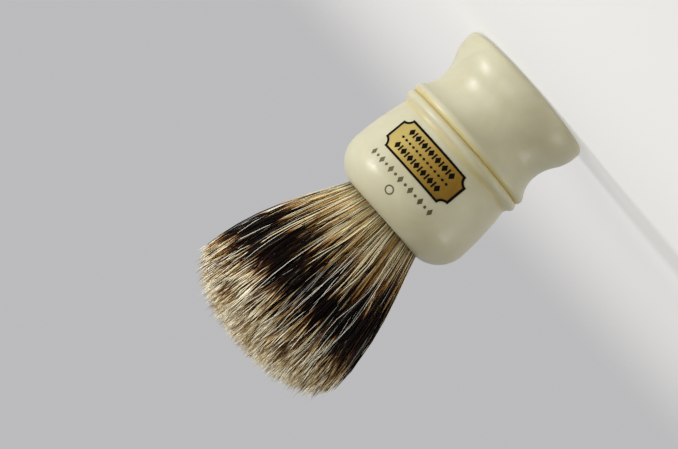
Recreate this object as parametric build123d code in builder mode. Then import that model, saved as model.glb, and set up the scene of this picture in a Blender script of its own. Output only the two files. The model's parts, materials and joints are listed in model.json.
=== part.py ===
from build123d import *
import os
from math import acos, asin, atan2, cos, degrees, radians, sin, sqrt

# Shaving brush, standing on its base: a turned resin handle with a badger knot cemented in its socket.
# Millimetres, +Z up along the brush, origin at the centre of the base, label facing -Y.

os.makedirs("parts", exist_ok=True)

# Handle: the foot, a waist, two beads, a swelling barrel and a round shoulder. Pairs are (radius, height)
land_radius = 14.0  # the flat that the brush stands on
base_rise = 0.4  # from the land out to the foot's corner
foot_corner = 1.6
foot_radius = 18.95
foot_top = 2.6
waist_radius = 16.05
waist_height = 13.2
cove_radius = 7.5  # the hollow from the waist up to the lower bead
cove_turn = 42.8
lower_bead = (18.35, 19.2)
bead_groove = (17.7, 20.4)
upper_bead = (18.42, 21.5)
bead_flank = (17.8, 22.7)
barrel_cove = (17.32, 23.6)
barrel_foot = (17.42, 24.6)
barrel_radius = 18.71
shoulder_radius = 8.2
shoulder_height = 37.8  # where the barrel turns into the shoulder

# Socket, and what holds the knot in it
socket_radius = 11.2
socket_floor = 30.0
mouth_round = 0.4
cement_bed = 1.0
cement_top = 44.0
root_radius = 10.9  # leaves 0.3 of cement all round
plug_top = 36.5
plug_chamfer = 0.8
thread_radius = 0.28
thread_turns = 4
thread_pitch = 0.62
thread_gap = 0.02
neck_radius = 10.3  # where the thread is wound
neck_height = 3.1

# Free hair: it flexes about a pivot above the mouth, so its lower end is a ball in the root's dish
pivot_height = 52.0
ball_radius = 12.5
dish_gap = 0.08
fan_points = [(17.1, 60.4), (19.9, 68.9)]
fan_start = (0.5, 1)  # direction of the fan's edge above the ball
bulb_radius = 21.95
bulb_height = 79.8  # where the fan is widest
brush_height = 91.3
dome_point = (15.5, 87.9)

# Label on the barrel, and the engraved marks above it
foil_thickness = 0.1
ink_thickness = 0.05
label_width = 21.6
label_height = 9.0
label_corner = 1.7  # radius of its hollow corners
label_z = 30.1
shell_margin = 1.0  # of the skin that the label is cut from
border_width = 0.55
row_offset = 2.2  # of the upper and lower printed rows from the label's middle
tall_lozenge = (1.5, 2.0)
tall_count = 7
tall_pitch = 2.3
bar = (0.45, 1.7)
small_lozenge = (0.9, 0.75)
small_count = 13
small_pitch = 1.25
mark_depth = 0.3
mark_fill = 0.2
mark_run_out = 0.1  # the cutter starts this far outside the surface
row_height = 37.15
row_marks = 13
row_pitch = 5.2  # degrees
row_lozenge = (1.35, 2.1)
dot_radius = 0.38
crest_height = 40.6
crest_radius = 1.2
crest_hole = 0.8

flare_turn = 2 * degrees(atan2(foot_radius - waist_radius, waist_height - foot_top))
flare_radius = (waist_height - foot_top) / 2 / sin(radians(flare_turn))
barrel_rise = shoulder_height - barrel_foot[1]
barrel_swell = barrel_radius - barrel_foot[0]
barrel_arc = (barrel_rise**2 + barrel_swell**2) / (2 * barrel_swell)
barrel_centre = (barrel_radius - barrel_arc, shoulder_height)
shoulder_turn = degrees(acos((socket_radius - barrel_radius + shoulder_radius) / shoulder_radius))
dish_radius = ball_radius + dish_gap


def lozenge(width, height):
    Polygon((-width / 2, 0), (0, -height / 2), (width / 2, 0), (0, height / 2))


def skin_plane(height, angle=0.0):
    """A plane on the handle's skin, from the barrel's top upwards, turned this far from -Y."""
    climb = asin(max(height - shoulder_height, 0) / shoulder_radius)
    reach = barrel_radius - shoulder_radius * (1 - cos(climb))
    side = Vector(cos(angle), sin(angle), 0)
    out = Vector(sin(angle), -cos(angle), 0)
    up = Vector(0, 0, 1)
    return Plane(origin=out * reach + up * height, x_dir=side, z_dir=out * cos(climb) + up * sin(climb))


def engraving(start, depth, mode=Mode.ADD):
    """The row of lozenges and dots and the ring over it, extruded inwards from this far under the skin."""
    for number in range(row_marks):
        angle = radians(row_pitch * (number - (row_marks - 1) / 2))
        with BuildSketch(skin_plane(row_height, angle).offset(-start)) as mark:
            if number % 2:
                Circle(dot_radius)
            else:
                lozenge(*row_lozenge)
        extrude(mark.sketch, amount=-depth, mode=mode)
    with BuildSketch(skin_plane(crest_height).offset(-start)) as ring:
        Circle(crest_radius)
        Circle(crest_hole, mode=Mode.SUBTRACT)
    extrude(ring.sketch, amount=-depth, mode=mode)


def barrel_skin(inner, outer):
    """A skin over the barrel behind the label, between two offsets from its surface."""
    half = label_height / 2 + shell_margin
    low = degrees(asin((label_z - half - shoulder_height) / barrel_arc))
    high = degrees(asin((label_z + half - shoulder_height) / barrel_arc))
    with BuildSketch(Plane.XZ) as section:
        with BuildLine():
            inside = CenterArc(barrel_centre, barrel_arc + inner, low, high - low)
            outside = CenterArc(barrel_centre, barrel_arc + outer, low, high - low)
            Line(inside @ 0, outside @ 0)
            Line(inside @ 1, outside @ 1)
        make_face()
    revolve(section.sketch, axis=Axis.Z)


def label_outline(inset):
    """The label's shape with hollow corners, moved in from its edge by this much."""
    with BuildSketch() as outline:
        Rectangle(label_width - 2 * inset, label_height - 2 * inset)
        with GridLocations(label_width, label_height, 2, 2):
            Circle(label_corner + inset, mode=Mode.SUBTRACT)
    return outline.sketch


# The turned handle, with its blind socket and engraved marks
with BuildPart() as handle:
    with BuildSketch(Plane.XZ):
        with BuildLine():
            land = Line((0, 0), (land_radius, 0))
            rise = Line(land @ 1, (foot_radius - foot_corner, base_rise))
            corner = JernArc(rise @ 1, (1, 0), foot_corner, 90)
            foot = Line(corner @ 1, (foot_radius, foot_top))
            flare_out = JernArc(foot @ 1, (0, 1), flare_radius, flare_turn)
            flare_in = JernArc(flare_out @ 1, flare_out % 1, flare_radius, -flare_turn)
            cove = JernArc(flare_in @ 1, (0, 1), cove_radius, -cove_turn)
            ThreePointArc(cove @ 1, lower_bead, bead_groove)
            ThreePointArc(bead_groove, upper_bead, bead_flank)
            ThreePointArc(bead_flank, barrel_cove, barrel_foot)
            barrel_turn = degrees(asin(barrel_rise / barrel_arc))
            barrel = CenterArc(barrel_centre, barrel_arc, -barrel_turn, barrel_turn)
            shoulder = JernArc(barrel @ 1, (0, 1), shoulder_radius, shoulder_turn)
            wall = Line(shoulder @ 1, (socket_radius, socket_floor))
            floor = Line(wall @ 1, (0, socket_floor))
            Line(floor @ 1, land @ 0)
        make_face()
    revolve(axis=Axis.Z)
    fillet(handle.edges().sort_by(Axis.Z)[-1], mouth_round)
    engraving(-mark_run_out, mark_run_out + mark_depth, Mode.SUBTRACT)
handle.part.label = "handle"

# Gilt paint at the bottom of each engraved mark
with BuildPart() as engraving_fill:
    engraving(mark_depth - mark_fill, mark_fill)
engraving_fill.part.label = "engraving_fill"

# Epoxy cement: a bed on the socket's floor, and a sleeve round the knot's root
with BuildPart() as socket_cement:
    with BuildSketch(Plane.XY.offset(socket_floor)):
        Circle(socket_radius)
    extrude(amount=cement_top - socket_floor)
    with BuildSketch(Plane.XY.offset(socket_floor + cement_bed)):
        Circle(root_radius)
    extrude(amount=cement_top - socket_floor, mode=Mode.SUBTRACT)
socket_cement.part.label = "socket_cement"

# Resin plug, in which the cut root ends of the hair are set
with BuildPart() as knot_plug:
    with BuildSketch(Plane.XY.offset(socket_floor + cement_bed)):
        Circle(root_radius)
    extrude(amount=plug_top - socket_floor - cement_bed)
    chamfer(knot_plug.edges().sort_by(Axis.Z)[0], plug_chamfer)
knot_plug.part.label = "knot_plug"

# Bound root of the hair above the plug: a neck for the thread, and a dish that the free hair flexes in
with BuildPart() as hair_root:
    with BuildSketch(Plane.XZ):
        with BuildLine():
            neck = Polyline(
                (0, plug_top),
                (neck_radius, plug_top),
                (neck_radius, plug_top + neck_height),
                (root_radius, plug_top + neck_height),
                (root_radius, pivot_height - sqrt(dish_radius**2 - root_radius**2)),
            )
            rim_turn = degrees(asin(root_radius / dish_radius))
            dish = CenterArc((0, pivot_height), dish_radius, -90, rim_turn)
            Line(dish @ 0, neck @ 0)
        make_face()
    revolve(axis=Axis.Z)
hair_root.part.label = "hair_root"

# Waxed thread, wound round the neck
thread_height = thread_turns * thread_pitch
thread_start = plug_top + (neck_height - thread_height) / 2
with BuildPart() as binding_thread:
    with BuildLine():
        coil_radius = neck_radius + thread_radius + thread_gap
        helix = Helix(thread_pitch, thread_height, coil_radius, (0, 0, thread_start))
    with BuildSketch(Plane(origin=helix @ 0, z_dir=helix % 0)):
        Circle(thread_radius)
    sweep()
binding_thread.part.label = "binding_thread"

# Free hair: a closed solid of the knot's fanned shape, round-topped
with BuildPart() as hair_knot:
    with BuildSketch(Plane.XZ):
        with BuildLine():
            ball = CenterArc((0, pivot_height), ball_radius, -90, 90)
            fan = Spline(ball @ 1, *fan_points, (bulb_radius, bulb_height), tangents=(fan_start, (0, 1)))
            dome = Spline(fan @ 1, dome_point, (0, brush_height), tangents=((0, 1), (-1, 0)))
            Line(dome @ 1, ball @ 0)
        make_face()
    revolve(axis=Axis.Z)
hair_knot.part.label = "hair_knot"

# Foil label, wrapped on the barrel
with BuildPart() as label_foil:
    barrel_skin(0, foil_thickness)
    with BuildSketch(Plane.XZ):
        with Locations((0, label_z)):
            add(label_outline(0))
    extrude(amount=2 * barrel_radius, mode=Mode.INTERSECT)
label_foil.part.label = "label_foil"

# Black ink on the foil: a border, and three plain rows of lozenges and bars
with BuildPart() as label_ink:
    barrel_skin(foil_thickness, foil_thickness + ink_thickness)
    with BuildSketch(Plane.XZ):
        with Locations((0, label_z)):
            add(label_outline(0))
            add(label_outline(border_width), mode=Mode.SUBTRACT)
            with GridLocations(small_pitch, 0, small_count, 1):
                lozenge(*small_lozenge)
            with GridLocations(tall_pitch, 2 * row_offset, tall_count, 2):
                lozenge(*tall_lozenge)
            with GridLocations(tall_pitch, 2 * row_offset, tall_count - 1, 2):
                Rectangle(*bar)
    extrude(amount=2 * barrel_radius, mode=Mode.INTERSECT)
label_ink.part.label = "label_ink"

pieces = [
    handle,
    engraving_fill,
    socket_cement,
    knot_plug,
    hair_root,
    binding_thread,
    hair_knot,
    label_foil,
    label_ink,
]
for piece in pieces:
    export_step(piece.part, f"parts/{piece.part.label}.step")
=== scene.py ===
import json
import math

import bpy
import numpy as np
from mathutils import Matrix, Vector


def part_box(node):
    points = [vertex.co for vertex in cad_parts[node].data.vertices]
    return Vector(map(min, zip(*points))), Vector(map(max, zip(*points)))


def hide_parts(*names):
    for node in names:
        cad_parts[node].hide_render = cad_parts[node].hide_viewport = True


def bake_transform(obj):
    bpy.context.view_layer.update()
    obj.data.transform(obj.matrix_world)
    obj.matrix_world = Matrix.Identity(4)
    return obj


# Shaving brush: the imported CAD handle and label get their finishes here, and the knot is made hair by hair.
# Metres, in the CAD frame: +Z up along the brush, label facing -Y.

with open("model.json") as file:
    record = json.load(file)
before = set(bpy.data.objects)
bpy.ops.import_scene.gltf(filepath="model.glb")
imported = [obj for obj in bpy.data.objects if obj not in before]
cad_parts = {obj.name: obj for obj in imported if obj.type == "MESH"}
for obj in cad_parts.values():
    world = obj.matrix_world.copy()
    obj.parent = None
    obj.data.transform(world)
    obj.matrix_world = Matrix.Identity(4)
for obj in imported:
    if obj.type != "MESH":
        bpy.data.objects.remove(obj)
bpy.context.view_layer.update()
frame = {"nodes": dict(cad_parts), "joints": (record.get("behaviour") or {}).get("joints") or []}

MM = 0.001
random = np.random.default_rng(11)

LABEL_HALF = 11 * MM  # half the label's width

# The knot's shape, which the hairs fill
knot_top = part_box("hair_knot")[1]
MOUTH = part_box("handle")[1][2]
MOUTH_RADIUS = 11.6 * MM
BULB = 79.8 * MM  # height where the fan is widest
BULB_RADIUS = knot_top[0]
TIP = knot_top[2]
PIVOT = frame["joints"][0]["pos_m"][2]
FAN_SWELL = 0.6  # how much of the fan's side is a curve, where the rest is a straight cone
DOME_SHAPE = 2.1  # a little fuller than an ellipse
ROOT_RADIUS = 10.6 * MM  # the hairs start on the bound root's dish
ROOT_GAP = 0.1 * MM
DISH_RADIUS = 12.58 * MM

# The hairs. A pair of shifts is a lock's own and a single hair's; a pair after a share is least and most
HAIRS = 10500
LOCKS = 2800
HAIR_RADIUS = 0.125 * MM
RADIUS_RANGE = (0.75, 1.15)
HAIR_JITTER = 0.5  # of their places, as a share of the spacing
LOCK_JITTER = 0.6
CORNERS = 3
STATIONS = np.array([0.0, 0.14, 0.3, 0.46, 0.61, 0.75, 0.87, 0.96, 1.0])
THICKNESS = np.array([0.66, 0.72, 0.8, 0.88, 0.95, 1.0, 0.94, 0.68, 0.0])
ASIDE = (0.31, 0.95, 0.0)  # a direction that no hair runs along
SHELLS = {"hair_inner": (0.0, 0.6), "hair_middle": (0.6, 0.86), "hair_outer": (0.86, 1.01)}

# Their tips, under the dome
TIP_INSET = 0.6 * MM
EDGE_INSET = 0.8 * MM  # more of it at the dome's edge
EDGE_POWER = 4
TIP_SHIFT = (0.35 * MM, 0.45 * MM)
TIP_LIMIT = 0.3 * MM  # no tip stands higher than this over the dome's top
SHORT_SHARE = 0.35
SHORT_BY = (0.8 * MM, 6 * MM)

# Their run, as shares of the fan's radius
GATHER = 0.27  # a lock's hairs draw together by this, a little below halfway up
GATHER_RATE = 1.15
GATHER_POWER = 0.8
TIP_GATHER = 0.1
LEAN = (0.045, 0.02)
SPLAY = 0.03  # a hair's turn to one side near its tip
SPLAY_POWER = 5
PULL_IN = 0.75  # how far hairs that stray past the fan's edge are drawn back to it
LIFT = (0.014, 0.006)
LOCK_SWAY = (0.022, (1.0, 3.0))  # size, and how many half waves there are
HAIR_SWAY = (0.01, (1.0, 3.5))
SWAY_FROM = 0.3  # the sway is whole from here up a hair
STRAY_SHARE = 0.006
STRAY_BY = (0.02, 0.12)
STRAY_POWER = 4
GUARD_REACH = 0.93  # pale guard hairs lie over the locks, from here out
GUARD_SHARE = 0.055
GUARD_THICKNESS = 0.56
GUARD_LEAN = 0.05
GUARD_LIFT = 0.012

# The dark band: its ends on an ordinary hair, and the shares of hairs that are not ordinary
BAND_LOW = 61.8 * MM
BAND_HIGH = 73.7 * MM
BAND_LEAST = 3.0 * MM
BAND_DIP = 1.4 * MM  # its lower end is lower at the sides than at the front and back
BAND_RISE = 0.4  # the upper end follows the dome by this share
LOW_SHIFT = (2.5 * MM, 2.0 * MM)
HIGH_SHIFT = (1.7 * MM, 1.2 * MM)
EARLY_SHARE = 0.17  # of hairs, and of locks, that turn dark lower down
EARLY_HAIRS = (3 * MM, 20 * MM)
EARLY_LOCKS = (2 * MM, 8 * MM)
LATE_SHARE = 0.22  # that stay dark further up
LATE_HAIRS = (2 * MM, 12 * MM)
LATE_LOCKS = (1.5 * MM, 7 * MM)
PALE_SHARE = 0.006  # that have no dark band
AMBER_SHARE = 0.06  # whose band is lighter
AMBER_BY = (0.2, 0.7)
TONE_SHARED = 0.68  # part of a hair's tone that is its lock's
BAND_FROM, BAND_TO = -2.0, 3.0  # the reach of the colours, in band lengths from the band's lower end
BAND_WANDER = 0.3  # how far the colours wander along a hair, in band lengths
WANDER_APART = 90.0  # keeps the wander of one hair unlike another's

# The camera and its turn round the brush
AZIMUTH = math.radians(-13.3)
ROLL = math.radians(-131.3)
DISTANCE = 0.66
AIM_SIDE = 5.8 * MM
AIM_HEIGHT = 54.4 * MM
LENS = 150.0

# The UV layer has a cell for each hair. Its columns of cells, and the hair's size and margin in its cell
CELL_COLUMNS = 256
CELL_SIZE = (0.7, 0.96)
CELL_MARGIN = (0.15, 0.02)

# The stage. A light's azimuth, from the camera's towards +X, elevation, distance, size, power and colour
LIGHTS = {
    "key": (74, 20, 0.8, 0.26, 5.6, (0.98, 0.98, 1.0)),
    "fill": (26, 27, 1.1, 0.7, 5.3, (1.0, 0.97, 0.88)),
    "rim": (-84, 3, 0.9, 0.3, 1.9, (1.0, 0.98, 0.94)),
}
WORLD_FRONT = (0.085, 0.083, 0.077, 1.0)
WORLD_BEHIND = (0.5, 0.5, 0.51, 1.0)
FLOOR_RADIUS = 1.0
FLOOR_FADE = (0.12, 0.9)  # the floor is whole up to the first distance, and gone from the second


def rgb(red, green, blue):
    """A display colour from 0 to 255, as linear RGBA."""
    shares = np.array([red, green, blue]) / 255
    linear = np.where(shares <= 0.04045, shares / 12.92, ((shares + 0.055) / 1.055) ** 2.4)
    return (*linear.tolist(), 1.0)


# ---------------------------------------------------------------- node helpers


def new_material(name, **inputs):
    """A material and its node tree, with these inputs set on its shader."""
    material = bpy.data.materials.new(name)
    material.use_nodes = True
    tree = material.node_tree
    shader = tree.nodes["Principled BSDF"]
    for key, value in inputs.items():
        shader.inputs[key.replace("_", " ")].default_value = value
    return material, tree, shader


def node(tree, kind, inputs=(), **settings):
    """A node with these settings, and these values or links at its inputs."""
    made = tree.nodes.new(kind)
    for key, value in settings.items():
        setattr(made, key, value)
    for key, value in dict(inputs).items():
        if isinstance(value, bpy.types.NodeSocket):
            tree.links.new(value, made.inputs[key])
        else:
            made.inputs[key].default_value = value
    return made


def here(tree):
    """The point being shaded, in the brush's own frame."""
    return node(tree, "ShaderNodeTexCoord").outputs["Object"]


def noise(tree, vector, scale, detail=3.0, roughness=0.5, distortion=0.0):
    inputs = {"Vector": vector, "Scale": scale, "Detail": detail, "Roughness": roughness}
    inputs["Distortion"] = distortion
    return node(tree, "ShaderNodeTexNoise", inputs).outputs[0]


def math_node(tree, operation, first, second=0.0, third=0.0):
    made = node(tree, "ShaderNodeMath", {0: first, 1: second, 2: third}, operation=operation)
    return made.outputs[0]


def remap(tree, value, low, high, to_low, to_high, interpolation="SMOOTHSTEP"):
    inputs = {"Value": value, "From Min": low, "From Max": high, "To Min": to_low, "To Max": to_high}
    return node(tree, "ShaderNodeMapRange", inputs, interpolation_type=interpolation).outputs[0]


def ramp(tree, value, stops):
    """A colour ramp through (position, colour) stops."""
    made = node(tree, "ShaderNodeValToRGB", {0: value})
    elements = made.color_ramp.elements
    for element, (position, colour) in zip(elements, (stops[0], stops[-1])):
        element.position = position
        element.color = colour
    for position, colour in stops[1:-1]:
        elements.new(position).color = colour
    return made.outputs[0]


def mix(tree, share, first, second, blend="MIX"):
    made = node(tree, "ShaderNodeMix", data_type="RGBA", blend_type=blend)
    for index, value in ((0, share), (6, first), (7, second)):
        if isinstance(value, bpy.types.NodeSocket):
            tree.links.new(value, made.inputs[index])
        else:
            made.inputs[index].default_value = value
    return made.outputs[2]


def bump(tree, shader, height, distance, strength=1.0):
    made = node(tree, "ShaderNodeBump", {"Height": height, "Distance": distance, "Strength": strength})
    tree.links.new(made.outputs[0], shader.inputs["Normal"])


# ------------------------------------------------------------------- materials


def ivory_resin():
    """Polished cream resin: faint clouds, painted amber shade in the grooves between the beads, fine
    polishing marks.
    """
    material, tree, shader = new_material(
        "ivory_resin",
        Subsurface_Weight=0.3,
        Subsurface_Scale=2.5 * MM,
        Subsurface_Radius=(1.0, 0.75, 0.4),
        Specular_IOR_Level=0.2,
        Coat_Weight=0.04,
        Coat_Roughness=0.22,
    )
    point = here(tree)
    clouds = noise(tree, point, 60.0, 4.0, 0.55, 1.2)
    creams = [(0.3, rgb(178, 173, 145)), (0.5, rgb(183, 179, 153)), (0.7, rgb(188, 185, 161))]
    cream = ramp(tree, clouds, creams)
    height = node(tree, "ShaderNodeSeparateXYZ", {0: point}).outputs["Z"]
    # Painted amber shade along the groove between the beads and on the upper bead's flank, darkest at their
    # middles
    painted_groove_shade = 0.0
    for groove, reach, depth in ((20.3, 1.1, 0.7), (23.5, 1.1, 0.45)):
        away = math_node(tree, "ABSOLUTE", math_node(tree, "SUBTRACT", height, groove * MM))
        painted_groove_shade = math_node(tree, "ADD", remap(tree, away, 0.0, reach * MM, depth, 0.0), painted_groove_shade)
    colour = mix(tree, painted_groove_shade, cream, rgb(186, 166, 92))
    tree.links.new(colour, shader.inputs["Base Color"])
    marks = noise(tree, point, 1400.0, 2.0)
    tree.links.new(remap(tree, marks, 0.3, 0.7, 0.3, 0.4), shader.inputs["Roughness"])
    bump(tree, shader, noise(tree, point, 380.0, 2.0), 0.02 * MM, 0.5)
    return material


def gold_foil():
    """Brushed gold leaf with painted light and shade, darker at -X and lighter at +X where the key light
    falls, with a fine grain.
    """
    material, tree, shader = new_material("gold_foil", Metallic=0.85)
    point = here(tree)
    across = node(tree, "ShaderNodeSeparateXYZ", {0: point}).outputs["X"]
    worn = noise(tree, point, 420.0, 4.0, 0.6)
    # Painted light and shade: the foil goes from darker at -X to lighter at +X, the side the key light comes
    # from
    side = remap(tree, across, -LABEL_HALF, LABEL_HALF, 0.0, 0.75)
    place = math_node(tree, "MULTIPLY_ADD", worn, 0.25, side)
    gold = ramp(tree, place, [(0.1, rgb(131, 98, 31)), (0.45, rgb(164, 135, 62)), (0.9, rgb(190, 171, 104))])
    tree.links.new(gold, shader.inputs["Base Color"])
    grain = noise(tree, point, 5200.0, 3.0)
    tree.links.new(remap(tree, grain, 0.3, 0.7, 0.3, 0.48), shader.inputs["Roughness"])
    bump(tree, shader, grain, 0.02 * MM, 0.6)
    return material


def speckled(name, dark, light, scale, roughness, specular=0.5):
    """A plain finish that wanders between two near colours, with a matching grain."""
    material, tree, shader = new_material(name, Specular_IOR_Level=specular)
    grain = noise(tree, here(tree), scale, 4.0, 0.6)
    tree.links.new(ramp(tree, grain, [(0.3, dark), (0.7, light)]), shader.inputs["Base Color"])
    low, high = roughness
    tree.links.new(remap(tree, grain, 0.3, 0.7, low, high), shader.inputs["Roughness"])
    bump(tree, shader, grain, 0.03 * MM, 0.5)
    return material


def badger_hair():
    """Each hair's colour along its length: cream root, amber, a near-black band, amber, an ivory tip."""
    material, tree, shader = new_material("badger_hair", Specular_IOR_Level=0.12)

    def stored(name):
        return node(tree, "ShaderNodeAttribute", attribute_name=name).outputs["Fac"]

    def stop(band, *colour):
        return ((band - BAND_FROM) / (BAND_TO - BAND_FROM), rgb(*colour))

    band, dark, tone = stored("hair_band"), stored("hair_dark"), stored("hair_tone")
    apart = math_node(tree, "MULTIPLY", tone, WANDER_APART)
    own = node(tree, "ShaderNodeCombineXYZ", {0: apart, 1: band}).outputs[0]
    wander = noise(tree, own, 2.5, 2.0)
    centred = math_node(tree, "SUBTRACT", band, BAND_WANDER / 2)
    shifted = math_node(tree, "MULTIPLY_ADD", wander, BAND_WANDER, centred)
    place = remap(tree, shifted, BAND_FROM, BAND_TO, 0.0, 1.0, "LINEAR")
    banded = [
        stop(-1.8, 228, 217, 180),
        stop(-0.34, 246, 237, 205),
        stop(-0.19, 210, 170, 104),
        stop(-0.1, 142, 90, 42),
        stop(-0.02, 60, 28, 11),
        stop(0.06, 19, 9, 6),
        stop(0.88, 18, 8, 5),
        stop(0.96, 64, 31, 13),
        stop(1.03, 140, 90, 46),
        stop(1.1, 224, 198, 152),
        stop(1.2, 254, 248, 226),
        stop(2.0, 255, 250, 234),
    ]
    pale = [stop(-1.8, 244, 237, 210), stop(0.3, 255, 252, 242), stop(2.5, 255, 251, 238)]
    colour = mix(tree, dark, ramp(tree, place, pale), ramp(tree, place, banded))
    tints = [
        (0.16, rgb(96, 58, 24)),
        (0.3, rgb(196, 166, 112)),
        (0.43, rgb(248, 238, 208)),
        (0.58, rgb(255, 255, 252)),
    ]
    tint = ramp(tree, tone, tints)
    tree.links.new(mix(tree, 1.0, colour, tint, "MULTIPLY"), shader.inputs["Base Color"])
    tree.links.new(remap(tree, wander, 0.3, 0.7, 0.36, 0.52), shader.inputs["Roughness"])
    return material


def finish_cad():
    """Each CAD node's own finish, in its own material slots."""
    finishes = {
        "handle": ivory_resin(),
        "engraving_fill": speckled("gilt_paint", rgb(58, 50, 16), rgb(94, 82, 32), 2600.0, (0.4, 0.6)),
        "socket_cement": speckled("epoxy", rgb(176, 138, 70), rgb(206, 172, 104), 300.0, (0.15, 0.3)),
        "knot_plug": speckled("knot_resin", rgb(78, 50, 30), rgb(112, 78, 48), 900.0, (0.25, 0.45)),
        "hair_root": speckled("bound_hair", rgb(150, 118, 76), rgb(206, 190, 150), 1500.0, (0.5, 0.7)),
        "binding_thread": speckled(
            "waxed_thread", rgb(196, 184, 152), rgb(222, 214, 190), 2400.0, (0.6, 0.8)
        ),
        "label_foil": gold_foil(),
        "label_ink": speckled("black_ink", rgb(5, 3, 2), rgb(11, 7, 5), 1800.0, (0.45, 0.6), 0.06),
    }
    for name, material in finishes.items():
        for material_slot in frame["nodes"][name].material_slots:
            material_slot.material = material


# ------------------------------------------------------------------------ hair


def fan_radius(height):
    """The fan's radius at this height: a swell over the mouth that eases off towards the bulb."""
    climb = (height - MOUTH) / (BULB - MOUTH)
    swell = FAN_SWELL * np.sin(climb * np.pi / 2) + (1 - FAN_SWELL) * climb
    return MOUTH_RADIUS + (BULB_RADIUS - MOUTH_RADIUS) * swell


def sunflower(count, jitter):
    """Points spread evenly over the unit disc, each moved by a share of the spacing."""
    order = np.arange(count) + 0.5
    reach = np.sqrt(order / count)
    angle = order * math.pi * (3 - math.sqrt(5))
    points = np.stack([reach * np.cos(angle), reach * np.sin(angle)], axis=1)
    points += random.normal(0, jitter / math.sqrt(count), points.shape)
    far = np.maximum(np.linalg.norm(points, axis=1), 1.0)
    return points / far[:, None]


def vary(lock, by_lock, by_hair, *shape):
    """A random shift for each hair, part of it shared by the hair's whole lock."""
    shared = random.normal(0, by_lock, (LOCKS, *shape))[lock]
    return shared + random.normal(0, by_hair, (HAIRS, *shape))


def some(share, least, most, lock=None):
    """A shift for this share of the hairs and none for the others, or for whole locks of them."""
    count = HAIRS if lock is None else LOCKS
    shift = (random.random(count) < share) * random.uniform(least, most, count)
    return shift if lock is None else shift[lock]


def sway(owner, size, beats):
    """A slow wave to and fro along each hair, the same for all the hairs of one owner."""
    count = owner.max() + 1
    turns = random.uniform(*beats, count)[owner][:, None] * STATIONS
    start = random.uniform(0, 2, count)[owner][:, None]
    wave = np.sin(np.pi * (turns + start)) * np.minimum(STATIONS / SWAY_FROM, 1.0)
    return random.normal(0, size, (count, 2))[owner][:, None] * wave[:, :, None]


def sweep(spots, hold, lock, guard, heights):
    """Each hair's points. Locks draw together above the mouth, lean, sway, and open out at the tips."""
    along = STATIONS[None, :, None]
    drawn = GATHER * np.sin(np.pi * np.minimum(along * GATHER_RATE, 1.0)) ** GATHER_POWER
    drawn = drawn + TIP_GATHER * along
    unit = spots[:, None] + (hold[lock] - spots)[:, None] * drawn * ~guard[:, None, None]
    lean = vary(lock, *LEAN, 2) + random.normal(0, GUARD_LEAN, (HAIRS, 2)) * guard[:, None]
    splay = random.normal(0, SPLAY, (HAIRS, 2))
    unit = unit + lean[:, None] * along + splay[:, None] * along**SPLAY_POWER
    unit = unit + sway(lock, *LOCK_SWAY) + sway(np.arange(HAIRS), *HAIR_SWAY)
    unit = unit / np.maximum(np.linalg.norm(unit, axis=2, keepdims=True), 1.0) ** PULL_IN
    lift = 1 + vary(lock, *LIFT)[:, None, None] * np.sin(np.pi * along) + GUARD_LIFT * guard[:, None, None]
    lift = lift + some(STRAY_SHARE, *STRAY_BY)[:, None, None] * along**STRAY_POWER
    return np.concatenate([unit * lift * fan_radius(heights)[:, :, None], heights[:, :, None]], axis=2)


def hair_heights(reach, lock, dome):
    """The heights of each hair's stations, from the root's dish to a tip under the dome."""
    tips = dome - TIP_INSET - EDGE_INSET * reach**EDGE_POWER
    tips += vary(lock, *TIP_SHIFT)
    tips -= some(SHORT_SHARE, *SHORT_BY)
    tips = np.minimum(tips, TIP + TIP_LIMIT)
    roots = PIVOT - np.sqrt(DISH_RADIUS**2 - (reach * ROOT_RADIUS) ** 2) + ROOT_GAP
    return roots[:, None] + (tips - roots)[:, None] * STATIONS


def hair_colours(sideways, lock, guard, dome, heights):
    """Where each hair's stations are in its own dark band, how dark the band is, and the hair's tone."""
    dip = BAND_DIP * (2 * sideways**2 - 1)
    low = BAND_LOW - dip + vary(lock, *LOW_SHIFT)
    low -= some(EARLY_SHARE, *EARLY_HAIRS) + some(EARLY_SHARE, *EARLY_LOCKS, lock)
    high = BAND_HIGH + BAND_RISE * (dome - BULB) + vary(lock, *HIGH_SHIFT)
    high += some(LATE_SHARE, *LATE_HAIRS) + some(LATE_SHARE, *LATE_LOCKS, lock)
    length = np.maximum(high - low, BAND_LEAST)
    band = (heights - low[:, None]) / length[:, None]
    pale = guard | (random.random(HAIRS) < PALE_SHARE)
    dark = (1 - some(AMBER_SHARE, *AMBER_BY)) * ~pale
    tone = TONE_SHARED * random.random(LOCKS)[lock] + (1 - TONE_SHARED) * random.random(HAIRS)
    return band, dark, np.where(pale, 1.0, tone)


def grow_hairs():
    """Every hair's distance from the knot's middle, its points, its radius, and what colours it."""
    spots = sunflower(HAIRS, HAIR_JITTER)
    hold = sunflower(LOCKS, LOCK_JITTER)
    lock = np.argmin(((spots[:, None] - hold[None]) ** 2).sum(axis=2), axis=1)
    reach = np.linalg.norm(spots, axis=1)
    guard = (reach > GUARD_REACH) & (random.random(HAIRS) < GUARD_SHARE)
    dome = BULB + (TIP - BULB) * np.clip(1 - reach**DOME_SHAPE, 0, 1) ** (1 / DOME_SHAPE)
    heights = hair_heights(reach, lock, dome)
    paths = sweep(spots, hold, lock, guard, heights)
    colours = hair_colours(spots[:, 0] / reach, lock, guard, dome, heights)
    radii = HAIR_RADIUS * random.uniform(*RADIUS_RANGE, HAIRS) * np.where(guard, GUARD_THICKNESS, 1.0)
    return reach, paths, radii, *colours


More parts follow.
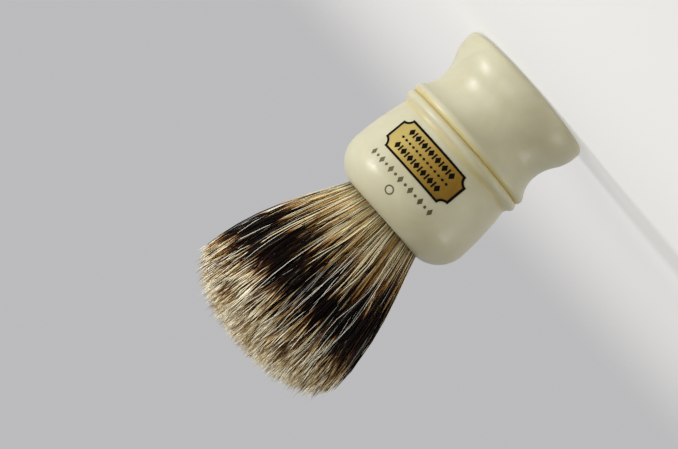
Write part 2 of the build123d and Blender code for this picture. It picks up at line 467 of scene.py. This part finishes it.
def hair_points(paths, radii):
    """The corners of each hair's rings, and its tip."""
    count = len(paths)
    forward = np.gradient(paths, axis=1)
    forward /= np.linalg.norm(forward, axis=2, keepdims=True)
    side = np.cross(forward, ASIDE)
    side /= np.linalg.norm(side, axis=2, keepdims=True)
    depth = np.cross(forward, side)
    spin = random.uniform(0, 2 * np.pi, (count, 1, 1)) + np.arange(CORNERS) * 2 * np.pi / CORNERS
    rings = side[:, :, None] * np.cos(spin)[..., None] + depth[:, :, None] * np.sin(spin)[..., None]
    rings *= (radii[:, None] * THICKNESS)[:, :, None, None]
    rings += paths[:, :, None]
    return np.concatenate([rings[:, :-1].reshape(count, -1, 3), paths[:, -1:]], axis=1)


def hair_faces(tip):
    """One hair's faces, as numbers of its own points, and its UV cell, which has the root at its foot."""
    faces, cell = [], []
    for ring in range(len(STATIONS) - 1):
        foot, head = STATIONS[ring], STATIONS[ring + 1]
        for corner in range(CORNERS):
            near, far = ring * CORNERS + corner, ring * CORNERS + (corner + 1) % CORNERS
            left, right = corner / CORNERS, (corner + 1) / CORNERS
            if near + CORNERS < tip:
                faces.append((near, far, far + CORNERS, near + CORNERS))
                cell += [(left, foot), (right, foot), (right, head), (left, head)]
            else:
                faces.append((near, far, tip))
                cell += [(left, foot), (right, foot), ((left + right) / 2, head)]
    faces.append(tuple(reversed(range(CORNERS))))
    cell += [(corner / CORNERS, 0.0) for corner in range(CORNERS)]
    return faces, np.array(cell)


def add_cells(mesh, cell, count):
    """The UV layer, with one cell for each hair."""
    rows = math.ceil(count / CELL_COLUMNS)
    order = np.arange(count)
    corner = np.stack([order % CELL_COLUMNS, order // CELL_COLUMNS], axis=1)
    inside = cell * CELL_SIZE + CELL_MARGIN
    places = (corner[:, None] + inside) / (CELL_COLUMNS, rows)
    mesh.uv_layers.new(name="OFBake").uv.foreach_set("vector", places.astype(np.float32).ravel())


def hair_piece(name, material, paths, radii, band, dark, tone):
    """One mesh of many tapered hairs."""
    points = hair_points(paths, radii)
    count, per_hair = points.shape[:2]
    faces, cell = hair_faces(per_hair - 1)
    mesh = bpy.data.meshes.new(name)
    every = [tuple(point + hair * per_hair for point in face) for hair in range(count) for face in faces]
    mesh.from_pydata(points.reshape(-1, 3).tolist(), [], every)
    mesh.shade_smooth()
    add_cells(mesh, cell, count)
    for key, values in (("hair_band", band), ("hair_dark", dark[:, None]), ("hair_tone", tone[:, None])):
        each = np.broadcast_to(values, (count, len(STATIONS)))
        spread = np.concatenate([np.repeat(each[:, :-1], CORNERS, axis=1), each[:, -1:]], axis=1)
        attribute = mesh.attributes.new(key, "FLOAT", "POINT")
        attribute.data.foreach_set("value", spread.astype(np.float32).ravel())
    mesh.materials.append(material)
    piece = bpy.data.objects.new(name, mesh)
    bpy.context.collection.objects.link(piece)
    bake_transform(piece)
    return piece


def make_knot():
    material = badger_hair()
    reach, *hairs = grow_hairs()
    for name, (low, high) in SHELLS.items():
        chosen = (reach >= low) & (reach < high)
        piece = hair_piece(name, material, *(values[chosen] for values in hairs))
        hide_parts("hair_knot")


# ----------------------------------------------------------------------- stage


def make_floor():
    """A pale, faintly glowing disc that fades into the background, so that it has no edge."""
    material, tree, shader = new_material(
        "floor",
        Base_Color=rgb(186, 185, 183),
        Roughness=0.8,
        Emission_Color=rgb(255, 254, 252),
        Emission_Strength=0.4,
    )
    distance = node(tree, "ShaderNodeVectorMath", {0: here(tree)}, operation="LENGTH").outputs["Value"]
    clear = node(tree, "ShaderNodeBsdfTransparent")
    blend = node(tree, "ShaderNodeMixShader", {0: remap(tree, distance, *FLOOR_FADE, 0.0, 1.0)})
    tree.links.new(shader.outputs[0], blend.inputs[1])
    tree.links.new(clear.outputs[0], blend.inputs[2])
    tree.links.new(blend.outputs[0], tree.nodes["Material Output"].inputs["Surface"])
    bpy.ops.mesh.primitive_circle_add(vertices=96, radius=FLOOR_RADIUS, fill_type="NGON")
    floor = bpy.context.object
    floor.name = "floor"
    floor.data.materials.append(material)


def round_light(name, azimuth, elevation, distance, size, power, colour):
    """A round area light aimed at the brush's middle."""
    turn = AZIMUTH + math.radians(azimuth)
    rise = math.radians(elevation)
    away = Vector((math.sin(turn) * math.cos(rise), -math.cos(turn) * math.cos(rise), math.sin(rise)))
    light = bpy.data.lights.new(name, "AREA")
    light.shape = "DISK"
    light.size = size
    light.energy = power
    light.color = colour
    lamp = bpy.data.objects.new(name, light)
    lamp.location = Vector((0, 0, TIP / 2)) + away * distance
    lamp.rotation_mode = "QUATERNION"
    lamp.rotation_quaternion = away.to_track_quat("Z", "Y")
    bpy.context.collection.objects.link(lamp)


def make_light():
    """A key from +X, a warm fill, a weak light low on the other side, and a world paler behind the brush."""
    world = bpy.data.worlds.new("studio")
    bpy.context.scene.world = world
    world.use_nodes = True
    tree = world.node_tree
    direction = node(tree, "ShaderNodeTexCoord").outputs["Generated"]
    behind = (-math.sin(AZIMUTH), math.cos(AZIMUTH), 0.0)
    facing = node(tree, "ShaderNodeVectorMath", {0: direction, 1: behind}, operation="DOT_PRODUCT")
    share = remap(tree, facing.outputs["Value"], -0.5, 0.9, 0.0, 1.0)
    shade = mix(tree, share, WORLD_FRONT, WORLD_BEHIND)
    tree.links.new(shade, tree.nodes["Background"].inputs["Color"])
    for name, settings in LIGHTS.items():
        round_light(name, *settings)


def make_camera():
    """Level, a little higher than the handle's mouth, and rolled so that the brush lies slanted."""
    back = Vector((math.sin(AZIMUTH), -math.cos(AZIMUTH), 0))
    side = Vector((math.cos(AZIMUTH), math.sin(AZIMUTH), 0))
    up = Vector((0, 0, 1))
    right = side * math.cos(ROLL) + up * math.sin(ROLL)
    top = up * math.cos(ROLL) - side * math.sin(ROLL)
    place = side * AIM_SIDE + up * AIM_HEIGHT + back * DISTANCE
    data = bpy.data.cameras.new("camera")
    data.lens = LENS
    data.sensor_width = 36.0
    camera = bpy.data.objects.new("camera", data)
    camera.matrix_world = Matrix.Translation(place) @ Matrix((right, top, back)).transposed().to_4x4()
    bpy.context.collection.objects.link(camera)
    bpy.context.scene.camera = camera


finish_cad()
make_knot()
make_floor()
make_light()
make_camera()
bpy.context.scene.view_settings.view_transform = "Standard"
